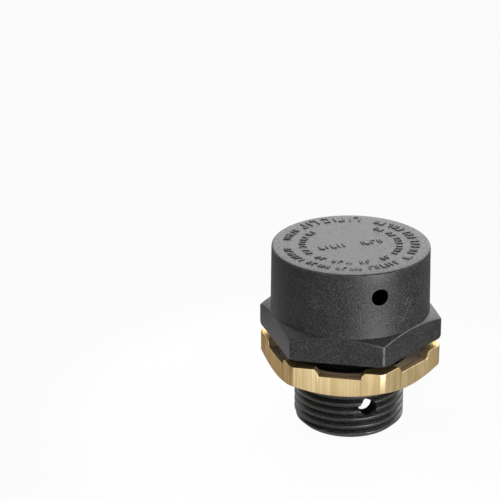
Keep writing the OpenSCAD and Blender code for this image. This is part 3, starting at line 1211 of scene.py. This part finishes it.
@dataclass(frozen=True)
class Hexagon:
    """Six-sided outline with a corner on -Y and rounded corners.

    Attributes:
        across_flats: Width across the flats.
        corner_radius: Radius of the rounded corners.
    """

    across_flats: float
    corner_radius: float

    @property
    def half(self) -> float:
        """Distance of the flats from the axis."""
        return self.across_flats / 2

    @property
    def corner(self) -> float:
        """Distance of the sharp corners from the axis."""
        return self.half / COS30

    @property
    def centre(self) -> float:
        """Distance from the axis of the rounded corners' own centres."""
        return (self.half - self.corner_radius) / COS30

    @property
    def tangent(self) -> float:
        """Angle from a corner at which its rounding meets the flat, in radians."""
        return math.atan2(self.corner_radius / 2, self.centre + self.corner_radius * COS30)

    def angles(self, per_flat: int) -> Array:
        """Angles of the columns, close together at the corners.

        Args:
            per_flat: Number of columns along a flat.

        Returns:
            The angles, in radians.
        """
        tangent = math.degrees(self.tangent)
        at_corner = tangent * np.array([-2.0, -1.0, -0.6, -0.2, 0.2, 0.6, 1.0, 2.0])
        along = np.linspace(2.0 * tangent, 60.0 - 2.0 * tangent, per_flat + 1)[1:-1]
        turns = 30.0 + 60.0 * np.arange(6)[:, None] + np.concatenate([at_corner, along])[None, :]
        return np.radians(np.sort(turns.ravel() % 360.0))

    def radius(self, angle: Array) -> Array:
        """Distance of the outline: h / cos(30 - d) on a flat, c cos d + sqrt(p^2 - c^2 sin^2 d) on a corner.

        Here d is the angle from the nearest corner, h the distance of the flats, p the corner's radius and c
        the distance of its centre.

        Args:
            angle: Angles in radians.

        Returns:
            The distances.
        """
        off = np.radians(np.abs((np.degrees(angle) + 90.0 + 30.0) % 60.0 - 30.0))
        inside = np.maximum(self.corner_radius**2 - (self.centre * np.sin(off)) ** 2, 0.0)
        rounded = self.centre * np.cos(off) + np.sqrt(inside)
        return np.where(off < self.tangent, rounded, self.half / np.cos(math.radians(30.0) - off))


@dataclass
class MouldedHead:
    """Hollow moulded head: a drafted cap with two vent holes, on a hexagon with turned-down corners."""

    seat_z: float = 17.3
    height: float = 16.9
    outline: Hexagon = Hexagon(28.8, 0.42)
    edge_h: float = 3.8
    chamfer_deg: float = 25.0
    foot_break: float = 0.3
    foot_break_deg: float = 60.0
    cap_inset: float = 0.05
    draft_deg: float = 0.9
    top_edge: float = 0.42
    crown_edge: float = 0.32
    shoulder_edge: float = 0.04
    wall: float = 2.3
    roof: float = 2.2
    flange_t: float = 2.5
    socket_wall: float = 1.3
    key_depth: float = 0.4
    push_gap: float = 0.05
    post_r: float = 2.5
    post_z: float = 26.7
    vent_r: float = 1.5
    vent_from_top: float = 4.5
    vent_turns: Pair = (90.0, 270.0)
    vent_half_deg: float = 10.5  # columns cut out for a vent hole, to either side of it
    vent_band: Pair = (-2.1, 1.9)  # lowest and highest row cut out for it, from its axis
    vent_rows: int = 12
    top_rings: tuple[float, ...] = (12.6, 9.0, 4.5, 0.0)  # radii of the rows on the cap's top
    columns_per_flat: int = 24
    black_shade_r: float = 14.05  # radius within which the inside is painted black as shade
    black_shade_room: Pair = (0.7, 0.9)  # heights that the painted black shade leaves out, above the seat and under the top
    scratches: tuple[Scratch, ...] = (
        ((6.63, -12.63, 27.63), (4.43, -13.61, 24.36), 0.1),
        ((5.9, -12.97, 28.45), (5.02, -13.36, 27.22), 0.08),
    )

    @property
    def shoulder_z(self) -> float:
        """Height at which the corners' chamfer reaches the flats' middles."""
        fall = (self.outline.corner - self.outline.half) * math.tan(math.radians(self.chamfer_deg))
        return self.seat_z + self.edge_h + fall

    @property
    def top_z(self) -> float:
        """Height of the cap's top."""
        return self.seat_z + self.height

    def cap_radius(self, angle: Array, height: Size) -> Array:
        """Radius of the drafted cap: r = foot - (z - foot's height) tan(draft)."""
        foot = self.outline.half - self.cap_inset
        return foot - (height - self.shoulder_z) * math.tan(math.radians(self.draft_deg)) + 0.0 * angle

    def cavity_radius(self, angle: Array, height: Array) -> Array:
        """Radius of the round hollow, which is straight."""
        top = float(self.cap_radius(np.zeros(1), self.top_z)[0])
        return top - self.wall + 0.0 * (angle + height)

    def socket_radius(self, angle: Array) -> Array:
        """Radius of the flange's socket, which is keyed."""
        return keyed(self.outline.half - self.socket_wall + self.push_gap, self.key_depth, angle)

    def build(self) -> Piece:
        """Makes the head as one closed skin: post, roof, hollow, socket, seat, hexagon, cap and top in turn.

        Returns:
            The piece.
        """
        angle = self.outline.angles(self.columns_per_flat)
        hexagon = self.outline.radius(angle)
        cavity = self.cavity_radius(angle, angle)
        socket = self.socket_radius(angle)
        roof_z, flange_z = self.top_z - self.roof, self.seat_z + self.flange_t
        vent_z = self.top_z - self.vent_from_top
        corner = self.outline.corner
        foot = np.minimum(hexagon, corner - self.foot_break)
        foot_z = self.seat_z + (hexagon - foot) * math.tan(math.radians(self.foot_break_deg))
        chamfer_z = self.seat_z + self.edge_h + (corner - hexagon) * math.tan(math.radians(self.chamfer_deg))
        band = np.linspace(vent_z + self.vent_band[0], vent_z + self.vent_band[1], self.vent_rows + 1)

        section: list[Row] = [
            (0.0, angle, self.post_z, Edge.NONE),
            (self.post_r, angle, self.post_z, Edge.FULL),
            (self.post_r, angle, roof_z, Edge.WIDE),
            (cavity, angle, roof_z, Edge.WIDE),
        ]
        inner_first = len(section)
        section += [(cavity, angle, z, Edge.NONE) for z in band[::-1]]
        section += [
            (cavity, angle, flange_z, Edge.SOFT),
            (socket, angle, flange_z, Edge.FINE),
            (socket, angle, self.seat_z, Edge.SOFT),
            (foot, angle, self.seat_z, Edge.NEAT),
            (hexagon, angle, foot_z, Edge.FULL),
            (hexagon, angle, chamfer_z, self.crown_edge),
            (self.cap_radius(angle, self.shoulder_z), angle, self.shoulder_z, self.shoulder_edge),
        ]
        outer_first = len(section)
        section += [(self.cap_radius(angle, z), angle, z, Edge.NONE) for z in band]
        section.append((self.cap_radius(angle, self.top_z), angle, self.top_z, self.top_edge))
        section += [(radius, angle, self.top_z, Edge.NONE) for radius in self.top_rings]

        rows, starts = profile(section, steps=4)
        inner_top, inner_low = starts[inner_first], starts[inner_first + len(band) - 1]
        outer_low, outer_top = starts[outer_first], starts[outer_first + len(band) - 1]
        skin = Skin()
        blocks: list[Block] = []
        for turn in self.vent_turns:
            left, right = span(angle, turn, self.vent_half_deg)
            outside = Block(outer_low, outer_top, left, right)
            inside = Block(inner_low, inner_top, left, right)
            hole = RoundHole(turn, vent_z, self.vent_r)
            skin.add(hole.sleeve(outside.loop(rows), inside.loop(rows), self.cap_radius, self.cavity_radius))
            blocks += [outside, inside]
        skin.add(rows, blocks)
        return skin.build("moulded_head")

    def dress(self, piece: Piece) -> None:
        """Gives the head its finish and joins it to the plug's body, in place of its solid.

        Args:
            piece: The head.
        """
        # the inside of the hollow is painted black as shade
        hollow = (self.black_shade_r, self.seat_z + self.black_shade_room[0], self.top_z - self.black_shade_room[1])
        # the hexagon's edges get a painted highlight on the lit side
        edge_highlight = PaintedEdgeHighlight(self.outline.corner, self.outline.half, self.seat_z + self.edge_h, self.chamfer_deg)
        skin = MouldedNylon("head_nylon_skin", hollow=hollow, scratches=self.scratches, edge_highlight=edge_highlight)
        settle(piece, skin.material(), Body.PLUG, Slot.HEAD, "vent_head")


@dataclass(frozen=True)
class ThreadForm:
    """Right-hand thread with 30 degree flanks, a flat crest and softened corners."""

    pitch: float = 1.5
    depth: float = 0.85
    crest_flat: float = 0.5
    crest_break: float = 0.12
    root_break: float = 0.08

    def section(self) -> tuple[Array, Array]:
        """Half a pitch of the form: half the crest, a flank depth x tan(30) wide, and half the root.

        Returns:
            Distance from the crest's middle, and height above the root.
        """
        half = self.crest_flat / 2
        foot = half + self.depth * TAN30
        corners = np.array([[0, self.depth], [half, self.depth], [foot, 0], [self.pitch / 2, 0]], float)
        rows, _ = soften(corners[:, None, :], [0, self.crest_break, self.root_break, 0])
        return rows[:, 0, 0], rows[:, 0, 1]

    def levels(self, low: float, high: float) -> tuple[Array, int]:
        """Heights of rows that lie on the form's bends, from below one height to above another.

        Args:
            low: The lower height.
            high: The upper height.

        Returns:
            The heights, with a crest at 0, and the number of rows in a pitch.
        """
        distance, _ = self.section()
        one = np.concatenate([-distance[:0:-1], distance[:-1]])
        turns = np.arange(math.floor(low / self.pitch) - 1, math.ceil(high / self.pitch) + 2)
        return (turns[:, None] * self.pitch + one[None, :]).ravel(), len(one)

    def rise(self, angle: Array, height: Array) -> Array:
        """Height of the form above its root: f(z - p a / 2 pi), with the section f repeated every pitch p.

        Args:
            angle: Angle a round the axis, in radians.
            height: Height z above a crest at angle 0.

        Returns:
            The height above the root.
        """
        distance, rise = self.section()
        along = height - self.pitch * angle / (2 * np.pi)
        off = np.abs((along + self.pitch / 2) % self.pitch - self.pitch / 2)
        return np.interp(off, distance, rise)


@dataclass
class ThreadedSpigot:
    """Moulded spigot: thread, neck, ring groove, keyed flange, chimney, bore and two drain holes."""

    seat_z: float = 17.3
    thread_r: float = 10.0
    form: ThreadForm = ThreadForm()
    crest_z: float = 0.03  # height of a crest at the angle 0
    lead: float = 1.3
    end_break: float = 0.12
    end_cut: float = 0.7  # share of the break by which the open end's own radius is smaller
    neck_len: float = 2.4
    neck_r: float = 9.08
    bore_r: float = 7.0
    mouth_chamfer: float = 0.4
    groove_depth: float = 0.8
    ring_d: float = 2.0
    ring_room: float = 0.15
    flange_r: float = 13.1
    key_depth: float = 0.4
    flange_t: float = 2.5
    chimney_h: float = 4.5
    chimney_wall: float = 1.6
    filter_ledge: float = 0.8
    filter_t: float = 2.0
    push_gap: float = 0.05
    drain_r: float = 1.6
    drain_z: float = 6.3
    drain_turns: Pair = (90.0, 270.0)
    drain_room: float = 0.55  # rows cut out above and below a drain hole
    drain_half_deg: float = 17.6  # columns cut out to either side of it
    drain_rings: int = 9
    columns: int = 144

    @property
    def neck_z(self) -> float:
        """Height at which the thread has run out into the neck."""
        return self.seat_z - self.neck_len

    def thread_radius(self, angle: Array, height: Array) -> Array:
        """Radius of the threaded wall: the smaller of the thread's and an outline's.

        The thread's is crest - depth + f, where f is the form's rise. The outline joins the corners of the
        open end, the lead, the thread and its run-out into the neck by straight lines.

        Args:
            angle: Angle round the axis, in radians.
            height: Height above the open end.

        Returns:
            The radius.
        """
        end = self.thread_r - self.lead
        corners = (
            (0.0, end - self.end_cut * self.end_break),
            (self.end_break, end + self.end_break),
            (self.lead, self.thread_r),
            (self.neck_z - self.thread_r + self.neck_r, self.thread_r),
            (self.neck_z, self.neck_r),
        )
        form = self.thread_r - self.form.depth + self.form.rise(angle, height - self.crest_z)
        return np.minimum(form, np.interp(height, *zip(*corners)))

    def bore_radius(self, angle: Array, height: Array) -> Array:
        """Radius of the bore, which is straight."""
        return self.bore_r + 0.0 * (angle + height)

    def build(self) -> Piece:
        """Makes the spigot as one closed skin.

        The thread's rows follow its helix, z = level + p a / 2 pi, and are held between the open end and the
        neck. The other rows are level: neck, groove, flange, chimney, bore and end face in turn.

        Returns:
            The piece.
        """
        angle = np.linspace(0.0, 2 * np.pi, self.columns, endpoint=False)
        levels, per_pitch = self.form.levels(-self.form.pitch, self.neck_z)
        climb = levels[:, None] + self.crest_z + self.form.pitch * angle[None, :] / (2 * np.pi)
        height = np.clip(climb, 0.0, self.neck_z)
        spiral = polar(self.thread_radius(angle[None, :], height), angle[None, :], height)

        half = self.drain_r + self.drain_room
        cells = round(2 * half / self.form.pitch * per_pitch)
        flange = keyed(self.flange_r, self.key_depth, angle)
        groove_r = self.neck_r + 2 * self.ring_room + self.ring_d
        groove_z, flange_z = self.seat_z + self.groove_depth, self.seat_z + self.flange_t
        chimney_r, chimney_z = self.bore_r + self.chimney_wall, flange_z + self.chimney_h
        pocket_r, pocket_z = self.bore_r + self.filter_ledge + self.push_gap, chimney_z - self.filter_t
        end_r = float(self.thread_radius(np.zeros(1), np.zeros(1))[0])
        section: list[Row] = [
            (self.neck_r, angle, self.neck_z, Edge.NONE),
            (self.neck_r, angle, groove_z, Edge.NEAT),
            (groove_r, angle, groove_z, Edge.NEAT),
            (groove_r, angle, self.seat_z, Edge.NEAT),
            (flange, angle, self.seat_z, Edge.NEAT),
            (flange, angle, flange_z, Edge.NEAT),
            (chimney_r, angle, flange_z, Edge.FULL),
            (chimney_r, angle, chimney_z, Edge.SOFT),
            (pocket_r, angle, chimney_z, Edge.KEEN),
            (pocket_r, angle, pocket_z, Edge.NONE),
            (self.bore_r, angle, pocket_z, Edge.KEEN),
        ]
        first = len(section)
        band = np.linspace(self.drain_z + half, self.drain_z - half, cells + 1)
        section += [(self.bore_r, angle, z, Edge.NONE) for z in band]
        section += [
            (self.bore_r, angle, self.mouth_chamfer, Edge.FINE),
            (self.bore_r + self.mouth_chamfer, angle, 0.0, Edge.KEEN),
            (end_r, angle, 0.0, Edge.NONE),
        ]
        rows, starts = profile(section)

        skin = Skin()
        outer_blocks: list[Block] = []
        inner_blocks: list[Block] = []
        for turn in self.drain_turns:
            left, right = span(angle, turn, self.drain_half_deg)
            middle = climb[:, (left + right) // 2]
            low = int(np.searchsorted(middle, self.drain_z - half))
            outside = Block(low, low + cells, left, right)
            inside = Block(starts[first] + cells, starts[first], left, right)
            hole = RoundHole(turn, self.drain_z, self.drain_r, Edge.FINE, self.drain_rings)
            loops = outside.loop(spiral), inside.loop(rows)
            skin.add(hole.sleeve(*loops, self.thread_radius, self.bore_radius))
            outer_blocks.append(outside)
            inner_blocks.append(inside)
        skin.add(spiral, outer_blocks, gain=per_pitch)
        skin.add(rows, inner_blocks)
        return skin.build("helical_spigot")

    def dress(self, piece: Piece) -> None:
        """Gives the spigot its finish and joins it to the plug's body, in place of its solid."""
        skin = MouldedNylon("spigot_nylon_skin", roughness=0.36, gloss=0.54, relief=0.03)
        settle(piece, skin.material(), Body.PLUG, Slot.SPIGOT, "threaded_spigot")


def meet(first_deg: float, first: Size, second_deg: float, second: Size) -> Array:
    """Crossing of two lines that are given by the direction of their normal and their distance from the axis.

    With normals (c, s) and (d, t) the crossing is ((p t - q s), (q c - p d)) / (c t - s d).

    Args:
        first_deg: Direction of the first normal, in degrees.
        first: Distance p of the first line.
        second_deg: Direction of the second normal, in degrees.
        second: Distance q of the second line.

    Returns:
        x and y along the last axis.
    """
    c, s = math.cos(math.radians(first_deg)), math.sin(math.radians(first_deg))
    d, t = math.cos(math.radians(second_deg)), math.sin(math.radians(second_deg))
    p, q = np.broadcast_arrays(np.asarray(first, float), np.asarray(second, float))
    return np.stack([p * t - q * s, q * c - p * d], axis=-1) / (c * t - s * d)


@dataclass
class Locknut:
    """Brass locknut: a bevelled hexagon with a dish and six slots in its upper face."""

    base_z: float = 10.9
    height: float = 5.0
    across_flats: float = 28.8
    corner_bevel: float = 0.95
    bevel_break: float = 0.1
    chamfer_deg: float = 30.0
    foot_inset: float = 0.3
    slot_depth: float = 1.35
    slot_floor_w: float = 7.5
    slot_lean: float = 0.15
    slot_turn: float = 2.0
    slot_columns: tuple[float, ...] = (0.0, 0.3, 0.6, 0.85)  # places on half a slot's floor, from its middle
    tooth_break: float = 0.6
    tooth_edge: float = 0.25
    tooth_start: float = 0.6  # length of a tooth's top beside the slot
    tooth_columns: tuple[float, ...] = (0.25, 0.5, 0.75)  # places on a tooth, from the slot to the corner
    dish_rim: float = 1.0
    dish_depth: float = 2.0
    dish_draft_deg: float = 12.0
    bore_r: float = 10.05
    bore_chamfer: float = 0.8
    form: ThreadForm = ThreadForm(depth=0.45, crest_flat=0.6, crest_break=0.1)
    bore_rows: int = 36

    def dish_radius(self, height: Size) -> Size:
        """Radius of the dish's drafted wall: the rim's less the depth under the rim times tan(draft)."""
        drawn_in = (self.height - height) * math.tan(math.radians(self.dish_draft_deg))
        return self.across_flats / 2 - self.dish_rim - drawn_in

    def bore_radius(self, angle: Array, height: Size) -> Array:
        """Radius of the bore: the larger of the thread's grooves and the chamfer at either end.

        Args:
            angle: Angle round the axis, in radians.
            height: Height above the nut's foot.

        Returns:
            The radius.
        """
        top = self.height - self.dish_depth
        end = np.minimum(height, top - height)
        chamfer = self.bore_r + np.maximum(self.bore_chamfer - end, 0.0)
        return np.maximum(chamfer, self.bore_r + self.form.rise(angle, height + self.base_z))

    def slot_section(self) -> tuple[Array, Array]:
        """Half a slot and the start of the tooth beside it: floor, leaning wall, 45 degree corner and top.

        Returns:
            Distance from the slot's middle, and height of the rim above the nut's foot.
        """
        floor, half = self.height - self.slot_depth, self.slot_floor_w / 2
        wall = half + self.slot_lean
        top = wall + self.tooth_break
        table = np.array([
            *((share * half, floor, Edge.NONE) for share in self.slot_columns),
            (half, floor, Edge.NEAT),
            (wall, self.height - self.tooth_break, self.tooth_edge),
            (top, self.height, self.tooth_edge),
            (top + self.tooth_start, self.height, Edge.NONE),
        ])
        rows, _ = soften(table[:, None, :2], table[:, 2].tolist(), steps=4)
        return rows[:, 0, 0], rows[:, 0, 1]

    def columns(self) -> tuple[Array, Array, Array]:
        """Columns of the rim, all the way round.

        A column in a slot keeps one distance y from the slot's middle, so that the slot's walls are straight:
        outside it is where that line meets the flat, and inside where it meets the dish, at an angle of
        asin(y / r) from the slot. Between slots the columns follow the flats and the bevelled corner.

        Returns:
            The outer points, the height of the rim above the nut's foot, and the inner angles.
        """
        side, height = self.slot_section()
        half = self.across_flats / 2
        bevel = half / COS30 - self.corner_bevel / 2 * TAN30
        turn, sixth = self.slot_turn, 60.0
        inward = np.arcsin(side / self.dish_radius(height))
        before = meet(0.0, half, turn + 90.0, side)
        after = meet(sixth, half, sixth + turn + 90.0, -side)[::-1]
        corners = [meet(0.0, half, 30.0, bevel), meet(30.0, bevel, sixth, half)]
        share = np.array(self.tooth_columns)[:, None]
        path = np.concatenate([
            before[-1:],
            before[-1] + share * (corners[0] - before[-1]),
            corners[:1],
            corners[1:],
            corners[1] + share * (after[0] - corners[1]),
            after[:1],
        ])
        plain = [0.0] * (len(share) + 1)
        tooth = soften(path[:, None, :], [*plain, self.bevel_break, self.bevel_break, *plain])[0][1:-1, 0]
        start, stop = math.radians(turn) + inward[-1], math.radians(sixth + turn) - inward[-1]
        spread = np.arctan2(tooth[:, 1], tooth[:, 0])
        ends = np.arctan2(before[-1, 1], before[-1, 0]), np.arctan2(after[0, 1], after[0, 0])
        spread = start + (spread - ends[0]) / (ends[1] - ends[0]) * (stop - start)

        outer = np.concatenate([before, tooth, after[:-1]])
        rim = np.concatenate([height, np.full(len(tooth), self.height), height[::-1][:-1]])
        inner = np.concatenate([
            math.radians(turn) + inward, spread, (math.radians(sixth + turn) - inward)[::-1][:-1],
        ])
        turns = np.radians(sixth) * np.arange(6)[:, None]
        points = rotate(outer[:, 0], outer[:, 1], turns)
        return points.reshape(-1, 2), np.tile(rim, 6), (turns + inner).ravel()

    def build(self) -> Piece:
        """Makes the locknut as one closed skin: foot, flats, rim, dish and bore in turn.

        Returns:
            The piece.
        """
        outer, rim, inner = self.columns()
        out_r, out_a = np.hypot(outer[:, 0], outer[:, 1]), np.arctan2(outer[:, 1], outer[:, 0])
        foot_r = self.across_flats / 2 - self.foot_inset
        under = (out_r - foot_r) * math.tan(math.radians(self.chamfer_deg))
        floor = self.height - self.dish_depth
        section: list[Row] = [
            (foot_r, out_a, 0.0, Edge.NEAT),
            (out_r, out_a, under, Edge.FINE),
            (out_r, out_a, rim, Edge.FINE),
            (self.dish_radius(rim), inner, rim, Edge.FINE),
            (self.dish_radius(floor), inner, floor, Edge.FULL),
        ]
        levels = np.linspace(floor, 0.0, self.bore_rows + 1)
        section += [(self.bore_radius(inner, z), inner, z, Edge.NONE) for z in levels]
        rows, _ = profile(section, closed=True)
        rows[..., 2] += self.base_z
        skin = Skin()
        skin.add(rows, closed=True)
        return skin.build("slotted_locknut")

    def dress(self, piece: Piece) -> None:
        """Gives the locknut its finish and joins it to the nut's body, in place of its solid."""
        settle(piece, DrawnBrass("drawn_brass").material(), Body.NUT, Slot.NUT, "locknut")


# Marks: width, share of the length at which each starts and ends, and step to the next
Mark = tuple[float, float, float, float]
BAR: Mark = (0.3, 0.0, 1.0, 0.52)
LOW: Mark = (0.7, 0.0, 0.24, 0.0)
TOP: Mark = (0.7, 0.76, 1.0, 0.84)
FOOT: Mark = (0.7, 0.0, 0.24, 0.84)
DOT: Mark = (0.42, 0.38, 0.68, 0.6)
BLOCK: Mark = (1.7, 0.02, 0.98, 1.9)
GAP: Mark = (0.0, 0.0, 0.0, 0.45)

Pattern = tuple[Mark, ...]
TALL: Pattern = (BAR, TOP, BAR, GAP, BAR, FOOT, BAR, GAP, BAR, LOW, TOP, GAP)
MIXED: Pattern = (BAR, FOOT, BAR, BAR, GAP, BAR, TOP, BAR, GAP, BAR, LOW, TOP, BAR, GAP)
PLAIN: Pattern = (BAR, BAR, GAP, BAR, FOOT, GAP, BAR, BAR, BAR, DOT)


@dataclass(frozen=True)
class MarkBand:
    """Arcs of raised marks on the cap, all of one size and at one distance from its middle.

    Attributes:
        radius: Radius of the marks' inner ends.
        length: Length of the marks, outwards.
        size: Scale of the pattern's widths and steps.
        arcs: Directions at which each arc starts and ends, in degrees from the viewer's right.
        pattern: Marks that repeat along the arcs.
    """

    radius: float
    length: float
    size: float
    arcs: tuple[Pair, ...]
    pattern: Pattern


@dataclass(frozen=True)
class MarkRow:
    """A straight row of raised marks across the cap.

    Attributes:
        start: Place along the row at which it starts, from the axis.
        end: Place at which it ends.
        length: Length of the marks, across the row.
        size: Scale of the pattern's widths and steps.
        pattern: Marks that repeat along the row.
    """

    start: float
    end: float
    length: float
    size: float
    pattern: Pattern


@dataclass
class CapMarks:
    """Plain raised bars and blocks on the cap, in two rings and a row across the middle."""

    top_z: float = 34.2
    sunk: float = 0.05
    proud: float = 0.14
    side: float = 0.75  # share of the height that the drafted side takes
    shrink: tuple[float, ...] = (0.0, 1.0, 0.93, 0.82, 0.0)  # scale of the outline at each level
    turn: float = -21.35
    row_turn: float = -2.0
    row_offset: float = -0.2
    bands: tuple[MarkBand, ...] = (
        MarkBand(10.8, 2.3, 1.25, ((83.0, 142.0),), TALL),
        MarkBand(10.6, 1.7, 0.9, ((-5.0, 12.0), (17.0, 32.0), (38.0, 54.0), (59.0, 70.0)), MIXED),
        MarkBand(10.5, 1.6, 0.8, ((-73.0, -51.0), (-47.0, -42.0), (-20.0, -9.0)), MIXED),
        MarkBand(10.6, 1.7, 1.0, ((-30.0, -29.0),), (BLOCK,)),
        MarkBand(10.7, 1.4, 0.7, ((-130.0, -107.0), (-102.0, -79.0)), PLAIN),
        MarkBand(10.9, 1.4, 0.66, ((-166.0, -136.0), (149.0, 172.0)), PLAIN),
        MarkBand(8.0, 1.3, 0.8, ((-28.0, -2.0), (4.0, 25.0), (30.0, 44.0), (50.0, 62.0)), MIXED),
        MarkBand(8.0, 1.3, 0.75, ((-51.0, -39.0), (-79.0, -63.0), (-111.0, -88.0), (-133.0, -121.0)), PLAIN),
        MarkBand(8.0, 1.3, 0.8, ((-157.0, -143.0), (162.0, 194.0), (143.0, 155.0)), MIXED),
    )
    rows: tuple[MarkRow, ...] = (
        MarkRow(-5.9, -1.2, 1.7, 0.95, (BAR, FOOT, BAR, GAP)),
        MarkRow(2.0, 5.8, 1.7, 0.95, (BAR, BAR, FOOT, BAR, TOP, BAR)),
    )

    @staticmethod
    def outline(width: float, length: float, count: int = 12, power: float = 0.35) -> Array:
        """A rounded rectangle: x and y are half the size times sign(c) |c|^power, with c = cos t and sin t.

        Args:
            width: Size along the band or row.
            length: Size across it.
            count: Number of points.
            power: Power that makes the corners squarer where it is smaller.

        Returns:
            x across and y along the band or row.
        """
        t = (np.arange(count) + 0.5) * 2 * np.pi / count
        parts = [np.sign(side) * np.abs(side) ** power for side in (np.cos(t), np.sin(t))]
        return np.stack(parts, axis=-1) * np.array([length, width]) / 2

    def mark(self, across: float, along: float, facing: float, size: Pair) -> Array:
        """Rows of one mark: foot, drafted side, rounded edge and top, scaled outlines one above another.

        Args:
            across: Place of its middle in the direction that it faces, from the axis.
            along: Place of its middle at right angles to this.
            facing: Direction that it faces, from +X, in radians.
            size: Its width and length.

        Returns:
            The rows, each of them closed.
        """
        level = np.array([-self.sunk, -self.sunk, self.proud * self.side, self.proud, self.proud])
        flat = np.array(self.shrink)[:, None, None] * self.outline(*size) + np.array([across, along])
        height = np.broadcast_to(level[:, None, None] + self.top_z, (*flat.shape[:2], 1))
        return np.concatenate([rotate(flat[..., 0], flat[..., 1], facing), height], axis=-1)

    @staticmethod
    def spread(start: float, end: float, size: float, pattern: Pattern) -> list[tuple[float, ...]]:
        """Marks of a pattern from a start to an end.

        Args:
            start: Place of the first mark's middle.
            end: Place that no mark's middle passes.
            size: Scale of the widths and steps.
            pattern: The marks.

        Returns:
            Each mark's place and width, and the shares of the length at which it starts and ends.
        """
        made: list[tuple[float, ...]] = []
        place = start
        for width, low, high, step in cycle(pattern):
            if place >= end:
                break
            if width:
                made.append((place, width * size, low, high))
            place += step * size
        return made

    def build(self) -> Piece:
        """Makes the marks, band by band and row by row.

        Returns:
            The piece.
        """
        skin = Skin()
        for band in self.bands:
            middle = band.radius + band.length / 2
            for start, end in band.arcs:
                turns = (math.radians(start + self.turn) * middle, math.radians(end + self.turn) * middle)
                for place, width, low, high in self.spread(*turns, band.size, band.pattern):
                    across = band.radius + (low + high) / 2 * band.length
                    skin.add(self.mark(across, 0.0, place / middle, (width, (high - low) * band.length)))
        facing = math.radians(self.row_turn + 90.0)
        for row in self.rows:
            for place, width, low, high in self.spread(row.start, row.end, row.size, row.pattern):
                across = self.row_offset + ((low + high) / 2 - 0.5) * row.length
                skin.add(self.mark(across, -place, facing, (width, (high - low) * row.length)))
        return skin.build("cap_marks")

    def dress(self, piece: Piece) -> None:
        """Gives the marks the head's finish and joins them to the plug's body."""
        settle(piece, bpy.data.materials["head_nylon_skin"], Body.PLUG, Slot.HEAD)


@dataclass
class Labyrinth:
    """Pieces that keep their solids: the baffle cup, the filter disc and the sealing ring."""

    finishes: dict[str, Finish] = field(default_factory=lambda: {
        "baffle_cup": MouldedNylon(
            "baffle_nylon_skin", light=(0.006, 0.006, 0.006), fibre=(0.02, 0.02, 0.02), gloss=0.03,
        ),
        "filter_disc": SinteredBronze("sintered_bronze"),
        "o_ring": NitrileRubber("nitrile_rubber"),
    })

    def dress(self) -> None:
        """Gives each solid its finish."""
        for node, finish in self.finishes.items():
            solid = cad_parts[node]
            solid.data.materials.clear()
            solid.data.materials.append(finish.material())
            log.info("%s: dressed with %s", node, finish.name)


def main() -> None:
    """Builds the studio and the plug, piece by piece."""
    logging.basicConfig(level=logging.INFO, format="%(name)s: %(message)s")
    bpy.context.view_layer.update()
    ViewCamera().build()
    Studio().build()
    for part in (MouldedHead(), ThreadedSpigot(), Locknut(), CapMarks()):
        part.dress(part.build())
    Labyrinth().dress()
    bpy.context.view_layer.update()


if __name__ == "__main__":
    main()
